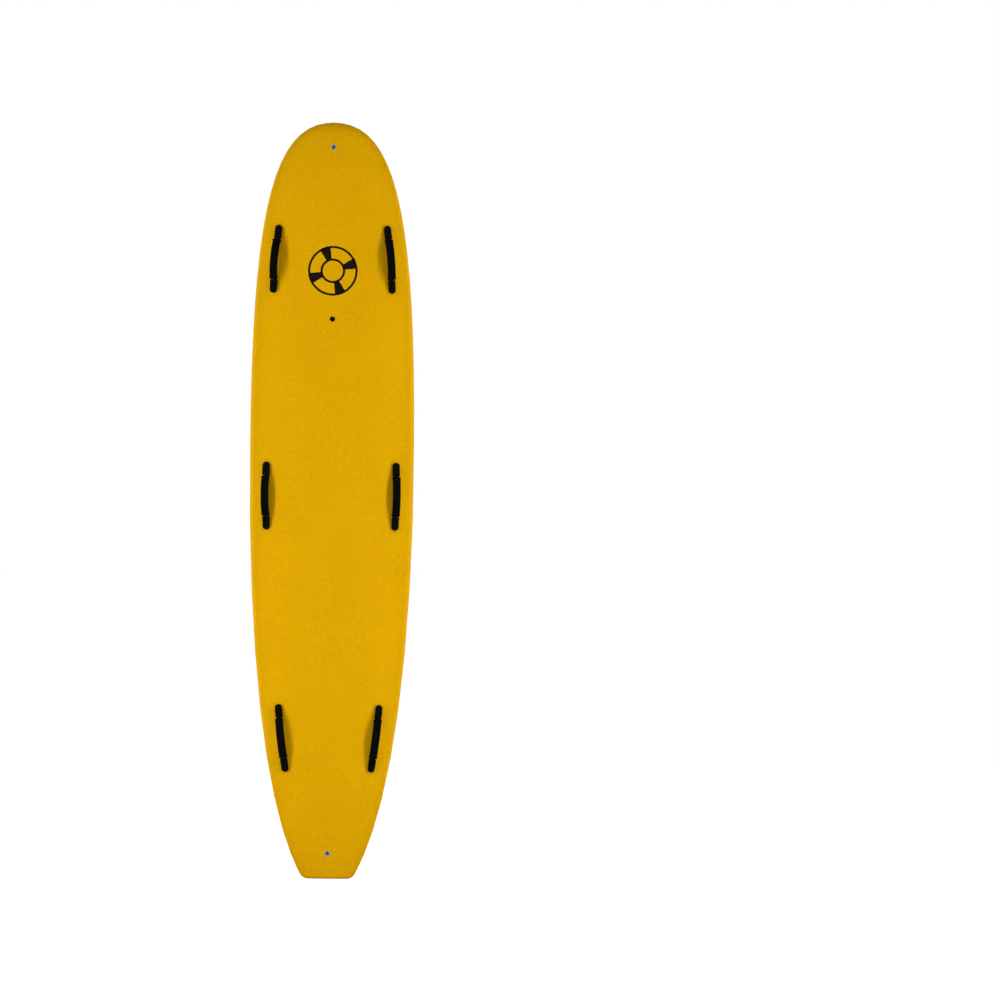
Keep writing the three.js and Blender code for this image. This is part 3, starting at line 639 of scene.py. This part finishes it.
def plug(end, paints):
    """A leash plug: a rolled rim over a deep cup, with a round bar across it."""
    bar_radius = 1.5 * MM
    bar_length = 18.4 * MM
    bar_depth = 6.6 * MM
    node = end + "_leash_cup"
    place = face_place(node, OUT_OF_DECK)
    cup = turned_piece(end + "_plug_cup", scaled([
        (0, -16.6), (7.9, -16.6), (8.5, -16.2), (8.7, -15.6), (8.7, -1.1), (8.9, -0.5),
        (9.3, -0.1), (9.8, 0), (10.9, -0.1), (11.6, -0.45), (12, -1), (12, -1.35),
        (10.8, -1.35), (10.8, -19.6), (0, -19.6),
    ]))
    smooth(cup)
    fix(cup, place, "board", leash_plug_plastic(place), "plug_plastic", node)
    bpy.ops.mesh.primitive_cylinder_add(
        vertices=24, radius=bar_radius, depth=bar_length, rotation=(0, math.pi / 2, 0),
        location=(0, -bar_depth, 0),
    )
    bar = named(end + "_plug_bar")
    bpy.ops.object.transform_apply(location=True, rotation=True)
    bevelled(bar, 0.3 * MM)
    fix(bar, place, "board", paints["stained"], "stainless_steel", end + "_leash_bar")


def vent(paints):
    """The vent: a flanged body, a coin-slotted screw and the soft ring under its head."""
    place = face_place("vent_body", OUT_OF_DECK)
    body = turned_piece("vent_flange", scaled([
        (3.6, -7.8), (7, -7.8), (7, -0.7), (7.2, -0.2), (7.7, 0), (9.6, 0), (10.4, -0.3),
        (10.8, -0.9), (10.8, -1.5), (8.5, -1.5), (8.5, -25.8), (3.6, -25.8), (3.6, -7.8),
    ]))
    smooth(body)
    fix(body, place, "board", paints["vent"], "vent_plastic", "vent_body")
    screw = turned_piece("vent_coin_screw", scaled([
        (0, -2.2), (5.4, -2.2), (6.1, -2.4), (6.4, -2.9), (6.4, -5.6), (3, -5.6),
        (3, -21.2), (2.6, -21.6), (0, -21.6),
    ]))
    cut_slots(screw, length=14 * MM, width=1.7 * MM, top=-2.2 * MM, depth=1.4 * MM, count=1)
    smooth(screw)
    fix(screw, place, "vent_screw", paints["vent"], "vent_plastic", "vent_screw")
    seal_radius = 4.45
    seal_depth = 6.7
    half_width = 1.1
    half_height = 0.75
    around = 12
    section = []
    for i in range(around + 1):
        turn = math.tau * i / around
        out = seal_radius + half_width * math.cos(turn)
        section.append((out, half_height * math.sin(turn) - seal_depth))
    seal = turned_piece("vent_soft_ring", scaled(section))
    smooth(seal, 60)
    fix(seal, place, "vent_seal", paints["rubber"], "seal_rubber", "vent_seal")


def cut_slots(piece, length, width, top, depth, count):
    """Cuts one slot, or two that cross, down into the top of a screw's head."""
    for turn in range(count):
        bpy.ops.mesh.primitive_cube_add(
            size=1, location=(0, top, 0), rotation=(0, turn * math.pi / 2, 0),
        )
        cutter = named("cutter")
        cutter.scale = (length, 2 * depth, width)
        bpy.ops.object.transform_apply(location=True, rotation=True, scale=True)
        modify(piece, "BOOLEAN", operation="DIFFERENCE", solver="EXACT", object=cutter)
        bpy.data.objects.remove(cutter)


def loop_place(crest, share):
    """The middle of the loop at a share of its length, and its outward direction there."""
    pull = crest / CREST_SHARE
    keys = [(0, -LOOP_HALF), (pull, -LOOP_FULLNESS), (pull, LOOP_FULLNESS), (0, LOOP_HALF)]
    rest = 1 - share
    weights = (rest ** 3, 3 * rest ** 2 * share, 3 * rest * share ** 2, share ** 3)
    slopes = (
        -3 * rest ** 2, 3 * rest ** 2 - 6 * rest * share,
        6 * rest * share - 3 * share ** 2, 3 * share ** 2,
    )
    centre = Vector((0, 0, 0))
    run = Vector((0, 0, 0))
    for (out, along), weight, slope in zip(keys, weights, slopes):
        centre += weight * Vector((0, out, along))
        run += slope * Vector((0, out, along))
    run.normalize()
    return centre, Vector((0, run.z, -run.y))


def on_loop(crest, share, x, out):
    centre, outward = loop_place(crest, share)
    return centre + Vector((x, 0, 0)) + outward * out


def strap(name, crest):
    """The webbing: one woven band with rounded selvedges."""
    steps = 48
    worn_share = 0.9
    squareness = 6
    ring = soft_ring(STRAP_WIDTH, STRAP_THICKNESS * worn_share, squareness, 28)
    return swept(
        name, [i / steps for i in range(steps + 1)],
        lambda share: [on_loop(crest, share, x, y) for x, y in ring],
    )


def sleeve(name, crest):
    """The padded sleeve: full in the middle, open at its mouths and bound at both ends."""
    low = SLEEVE_END
    mouth = [
        (low + 0.05, -6.6 * MM, -15 * MM), (low + 0.012, -6 * MM, -14.2 * MM),
        (low + 0.002, -4 * MM, -11 * MM), (low, -1.5 * MM, -5.5 * MM),
    ]
    binding = [
        (low + 0.001, 0.6 * BINDING_GROWTH, 0.2 * BINDING_GROWTH),
        (low + 0.006, 2 * BINDING_GROWTH, BINDING_GROWTH),
        (low + BINDING_SHARE - 0.005, 2 * BINDING_GROWTH, BINDING_GROWTH),
        (low + BINDING_SHARE, 0.5 * BINDING_GROWTH, 0),
        (low + BINDING_SHARE + 0.004, -0.5 * MM, -1.2 * MM),
    ]
    start = mouth + binding
    steps = 30
    first = start[-1][0] + 0.02
    body = [(first + (1 - 2 * first) * i / steps, 0, 0) for i in range(steps + 1)]
    end = [(1 - share, across, through) for share, across, through in reversed(start)]

    def ring(station):
        share, across, through = station
        fullness = 0.6 * MM * math.sin(math.pi * share) ** 2
        section = soft_ring(
            SLEEVE_WIDTH + across + fullness, SLEEVE_THICKNESS + through + fullness,
            SLEEVE_SQUARENESS, SLEEVE_SIDES,
        )
        return [on_loop(crest, share, x, y) for x, y in section]

    return swept(name, start + body + end, ring)


def stitches(name, rows):
    """Rows of stitches, each a short raised lozenge between two points."""
    points = []
    faces = []
    thread = 0.45 * MM
    for start, end, out in rows:
        run = (end - start).normalized()
        side = run.cross(out).normalized() * thread
        top = out.normalized() * thread
        middle = (start + end) / 2
        base = len(points)
        points += [start, end, middle + side, middle - side, middle + top, middle - top]
        for a, b in ((2, 4), (4, 3), (3, 5), (5, 2)):
            faces.append((base, base + a, base + b))
            faces.append((base + 1, base + b, base + a))
    mesh = bpy.data.meshes.new(name)
    mesh.from_pydata(points, [], faces)
    piece = bpy.data.objects.new(name, mesh)
    bpy.context.scene.collection.objects.link(piece)
    close_up(piece)
    smooth(piece, 80)
    return piece


def loop_stitches(name, crest):
    """Two rows along the sleeve's face, one round each binding, and a tack on each strap end."""
    rows = []
    count = 46
    low = SLEEVE_END + BINDING_SHARE + 0.02
    stitch_share = 0.62
    row_from_middle = 11.5 * MM
    lift = SLEEVE_THICKNESS / 2 - 0.15 * MM
    for side in (-1, 1):
        x = side * row_from_middle
        for i in range(count):
            step = (1 - 2 * low) / count
            start = on_loop(crest, low + i * step, x, lift)
            end = on_loop(crest, low + (i + stitch_share) * step, x, lift)
            rows.append((start, end, loop_place(crest, low + i * step)[1]))
    for share in (SLEEVE_END + 0.7 * BINDING_SHARE, 1 - SLEEVE_END - 0.7 * BINDING_SHARE):
        section = soft_ring(
            SLEEVE_WIDTH + 2 * BINDING_GROWTH, SLEEVE_THICKNESS + BINDING_GROWTH,
            SLEEVE_SQUARENESS, SLEEVE_SIDES,
        )
        centre = loop_place(crest, share)[0]
        for i in range(0, SLEEVE_SIDES, 2):
            start = on_loop(crest, share, *section[i])
            end = on_loop(crest, share, *section[i + 1])
            rows.append((start, end, (start + end) / 2 - centre))
    tack_spacing = 2 * MM
    lift = STRAP_THICKNESS * 0.45
    for share in (0.052, 0.948):
        for i in range(-5, 6):
            x = i * tack_spacing
            start = on_loop(crest, share - 0.012, x, lift)
            end = on_loop(crest, share + 0.008, x + tack_spacing / 2, lift)
            rows.append((start, end, loop_place(crest, share)[1]))
    return stitches(name, rows)


def end_clip():
    """The moulded clip on a strap's end, with the round pin that turns in its cap."""
    bpy.ops.mesh.primitive_cube_add(size=1, location=(0, 0, 0))
    clip = named("end_clip")
    clip.scale = CLIP_SIZE
    clip.location = (0, 0, CLIP_MIDDLE)
    bpy.ops.object.transform_apply(location=True, scale=True)
    bevelled(clip, 0.8 * MM, segments=3)
    bpy.ops.mesh.primitive_cylinder_add(
        vertices=32, radius=PIN_RADIUS, depth=PIN_LENGTH, location=(0, 0, PIN_MIDDLE),
    )
    pin = named("end_pin")
    modify(clip, "BOOLEAN", operation="UNION", solver="EXACT", object=pin)
    bpy.data.objects.remove(pin)
    smooth(clip)
    return clip


def cap_screw():
    """A pan-head screw with a cross recess, its head's underside at the origin."""
    screw = turned_piece("cap_screw", scaled([
        (0, 2.6), (1.5, 2.56), (2.9, 2.2), (3.8, 1.5), (4.2, 0.7), (4.2, 0), (2.3, 0),
        (2.3, -20), (0, -24),
    ]), steps=32)
    cut_slots(screw, length=4.8 * MM, width=1.1 * MM, top=HEAD_HEIGHT, depth=1.7 * MM, count=2)
    smooth(screw)
    return screw


def copy_of(piece, name):
    made = piece.copy()
    made.data = piece.data.copy()
    made.name = name
    bpy.context.scene.collection.objects.link(made)
    return made


def handle(where, side, clip, screw, paints):
    """One grab handle: two caps, their screws, the webbing loop and its sleeve."""
    name = "handle_" + where + "_" + side
    body = where + "_" + side + "_loop"
    place = handle_place(name, where + "_" + side + "_fold")
    into_place = place.inverted()
    strap_top = max((into_place @ p).y for p in points_of(name + "_strap"))
    crest = strap_top - STRAP_THICKNESS / 2
    webbing = strap(name + "_webbing", crest)
    smooth(webbing, 50)
    fix(webbing, place, body, paints["webbing"], "loop_webbing", name + "_strap")
    padding = sleeve(name + "_sleeve", crest)
    smooth(padding, 50)
    fix(padding, place, body, paints["neoprene"], "grip_neoprene", name + "_grip")
    thread = loop_stitches(name + "_stitching", crest)
    fix(thread, place, body, paints["thread"], "loop_webbing")
    for end, half_turn in (("upper", 0), ("lower", math.pi)):
        turned = place @ Matrix.Rotation(half_turn, 4, "Y")
        fix(copy_of(clip, name + "_clip_" + end), turned, body, paints["cap"], "cap_plastic")
        cap_node = name + "_cap_" + end
        cap = dressed_copy(cap_node, name + "_wedge_" + end)
        bevelled(cap, 1.6 * MM, segments=3)
        fix(cap, Matrix(), "board", paints["cap"], "cap_plastic", cap_node)
        screw_node = name + "_screw_" + end
        local = [turned.inverted() @ p for p in points_of(screw_node)]
        middle = sum(local, Vector()) / len(local)
        top = max(p.y for p in local)
        seat = turned @ Matrix.Translation((middle.x, top - HEAD_HEIGHT, middle.z))
        made = copy_of(screw, name + "_pan_screw_" + end)
        fix(made, seat, "board", paints["blackened"], "blackened_steel", screw_node)


def rounded_blade(blade):
    """Rounds a blade's outline and foil between its stations, with its hard edges kept."""
    take(blade)
    bpy.ops.object.mode_set(mode="EDIT")
    bpy.ops.mesh.select_all(action="SELECT")
    bpy.ops.mesh.tris_convert_to_quads(
        face_threshold=math.radians(25), shape_threshold=math.radians(60),
    )
    bpy.ops.mesh.select_mode(type="EDGE")
    bpy.ops.mesh.select_all(action="DESELECT")
    bpy.ops.mesh.edges_select_sharp(sharpness=math.radians(50))
    bpy.ops.transform.edge_crease(value=1)
    leave_edit()
    modify(blade, "SUBSURF", levels=2, render_levels=2)


def fin_and_box(paints):
    blade = dressed_copy("fin", "centre_fin")
    rounded_blade(blade)
    smooth(blade, 40)
    fix(blade, Matrix(), "fin", paints["fin"], "fin_plastic", "fin")
    track = dressed_copy("fin_box", "fin_track")
    bevelled(track, 0.5 * MM)
    fix(track, Matrix(), "board", paints["box"], "fin_box_plastic", "fin_box")
    for node, name in (("fin_pin", "fin_front_pin"), ("fin_plate", "fin_nut_plate")):
        piece = dressed_copy(node, name)
        bevelled(piece, 0.4 * MM)
        fix(piece, Matrix(), "fin", paints["steel"], "stainless_steel", node)
    screw = dressed_copy("fin_screw", "fin_plate_screw")
    smooth(screw)
    fix(screw, Matrix(), "fin", paints["steel"], "stainless_steel", "fin_screw")


def hidden_nodes(paints):
    for node, piece in NODES.items():
        if node.startswith("foam_core"):
            piece.material_slots[0].material = paints["core"]
        elif node == "centre_stringer":
            piece.material_slots[0].material = paints["wood"]
        elif node.endswith("_anchor"):
            piece.material_slots[0].material = paints["anchor"]


def seen_share(tree):
    """1 for what the camera, a reflection or a see-through piece shows, else 0."""
    path = add(tree, "ShaderNodeLightPath").outputs
    first = add(
        tree, "ShaderNodeMath", {0: path["Is Camera Ray"], 1: path["Is Glossy Ray"]},
        operation="MAXIMUM",
    )
    both = add(
        tree, "ShaderNodeMath",
        {0: first.outputs[0], 1: path["Is Transmission Ray"]}, operation="MAXIMUM",
    )
    return both.outputs[0]


def studio():
    """White surroundings, a white floor that keeps the board's shadow, and lamps on both sides.

    Tall strips light the deck, helped by short ones at its foot. Far lamps light the bottom.
    """
    world = bpy.data.worlds.new("white_studio")
    bpy.context.scene.world = world
    world.use_nodes = True
    tree = world.node_tree
    lit = tree.nodes["Background"]
    lit.inputs["Color"].default_value = (1, 1, 1, 1)
    lit.inputs["Strength"].default_value = AMBIENT
    shown = add(tree, "ShaderNodeBackground", {"Color": (1, 1, 1, 1), "Strength": 1})
    mixed = add(
        tree, "ShaderNodeMixShader",
        {0: seen_share(tree), 1: lit.outputs[0], 2: shown.outputs[0]},
    )
    tree.links.new(mixed.outputs[0], tree.nodes["World Output"].inputs["Surface"])

    floor_radius = 60
    under_tail = 0.5 * MM
    bpy.ops.mesh.primitive_circle_add(
        vertices=96, radius=floor_radius, fill_type="NGON", location=(0, 0, -under_tail),
    )
    floor = named("studio_floor")
    material, tree, shader = finish("white_floor", "c8c8c8", 0.9, Specular_IOR_Level=0)
    glow = add(tree, "ShaderNodeEmission", {"Color": (1, 1, 1, 1), "Strength": FLOOR_GLOW})
    none = add(tree, "ShaderNodeEmission", {"Strength": 0})
    chosen = add(
        tree, "ShaderNodeMixShader",
        {0: seen_share(tree), 1: none.outputs[0], 2: glow.outputs[0]},
    )
    total = add(
        tree, "ShaderNodeAddShader", {0: shader.outputs[0], 1: chosen.outputs[0]},
    )
    tree.links.new(total.outputs[0], tree.nodes["Material Output"].inputs["Surface"])
    floor.data.materials.append(material)

    strip = {"out": 1.1, "depth": -0.85, "width": 0.2}
    far = {"out": 5.6, "depth": 4.5, "width": 0.7}
    for side in (-1, 1):
        area_lamp("strip_lamp", side, 1.89, 3.72, STRIP_POWER, **strip)
        area_lamp("foot_lamp", side, 0.27, 0.48, FOOT_POWER, **strip)
        area_lamp("far_lamp", side, 1.8, 0.7, FAR_POWER, **far)


def area_lamp(name, side, height, length, power, out, depth, width):
    """A lamp on one side, aimed level at that side of the board's middle line."""
    aimed_out = 0.1
    place = Vector((side * out, depth, height))
    bpy.ops.object.light_add(type="AREA", location=place)
    lamp = bpy.context.active_object
    lamp.name = name
    lamp.data.shape = "RECTANGLE"
    lamp.data.size = width
    lamp.data.size_y = length
    lamp.data.energy = power
    lamp.visible_camera = False
    aim = Vector((side * aimed_out, 0, height)) - place
    lamp.rotation_euler = aim.to_track_quat("-Z", "Y").to_euler()


def camera():
    """The photograph's view of the deck: level, from far in front, the board left of the middle."""
    distance = 15
    metres_per_pixel = 4.238 * MM
    photo_width = 1000
    sensor = 36 * MM
    board_column = 330.8
    tail_row = 878.4
    lean = math.radians(0.55)
    across = photo_width / 2 - board_column
    up = tail_row - photo_width / 2 + across * math.sin(lean)
    bpy.ops.object.camera_add(
        location=(across * metres_per_pixel, -distance, up * metres_per_pixel),
        rotation=(math.pi / 2, 0, 0),
    )
    made = bpy.context.active_object
    made.name = "photo_camera"
    made.data.sensor_width = sensor / MM
    made.data.lens = sensor * distance / (metres_per_pixel * photo_width) / MM
    made.data.clip_end = 100
    made.rotation_euler.rotate_axis("Z", lean)
    bpy.context.scene.camera = made


def build():
    bpy.context.scene.view_settings.view_transform = "Standard"
    camera()
    studio()
    paints = {
        "deck": foam_deck(),
        "slick": slick_bottom(),
        "core": bead_foam(),
        "wood": stringer_wood(),
        "cap": moulded_plastic("black_nylon", "040404", 0.55, 1.2 * MM, 0.06 * MM, 0.025),
        "anchor": moulded_plastic("black_insert_block", "1b1b1b", 0.6, 2 * MM, 0.08 * MM),
        "vent": moulded_plastic("black_vent_plastic", "040404", 0.5, 1.2 * MM, 0.05 * MM, 0.03),
        "rubber": moulded_plastic("black_seal_rubber", "080808", 0.75, 1 * MM, 0.05 * MM, 0.08),
        "box": moulded_plastic("white_box_plastic", "cfd1cd", 0.35, 2 * MM, 0.04 * MM),
        "fin": moulded_plastic(
            "black_glass_filled_nylon", "080808", 0.42, 1.6 * MM, 0.05 * MM, 0.12,
        ),
        "steel": turned_steel("stainless_steel", "b4b7ba", 0.3),
        "stained": turned_steel("salt_stained_steel", "9a9482", 0.5),
        "blackened": turned_steel("blackened_steel", "191a1c", 0.5),
        "webbing": woven_webbing(),
        "neoprene": neoprene_jersey(),
        "thread": moulded_plastic("black_thread", "0c0c0d", 0.7, 0.5 * MM, 0.05 * MM, 0.08),
    }
    deck, bottom = hull(paints)
    deck_print(deck, screen_ink("black_ink", "14130f"))
    bottom_print(bottom, screen_ink("red_ink", "a9021c"))
    plug("nose", paints)
    plug("tail", paints)
    vent(paints)
    clip = end_clip()
    screw = cap_screw()
    for where in ("nose", "middle", "tail"):
        for side in ("left", "right"):
            handle(where, side, clip, screw, paints)
    bpy.data.objects.remove(clip)
    bpy.data.objects.remove(screw)
    fin_and_box(paints)
    hidden_nodes(paints)


build()
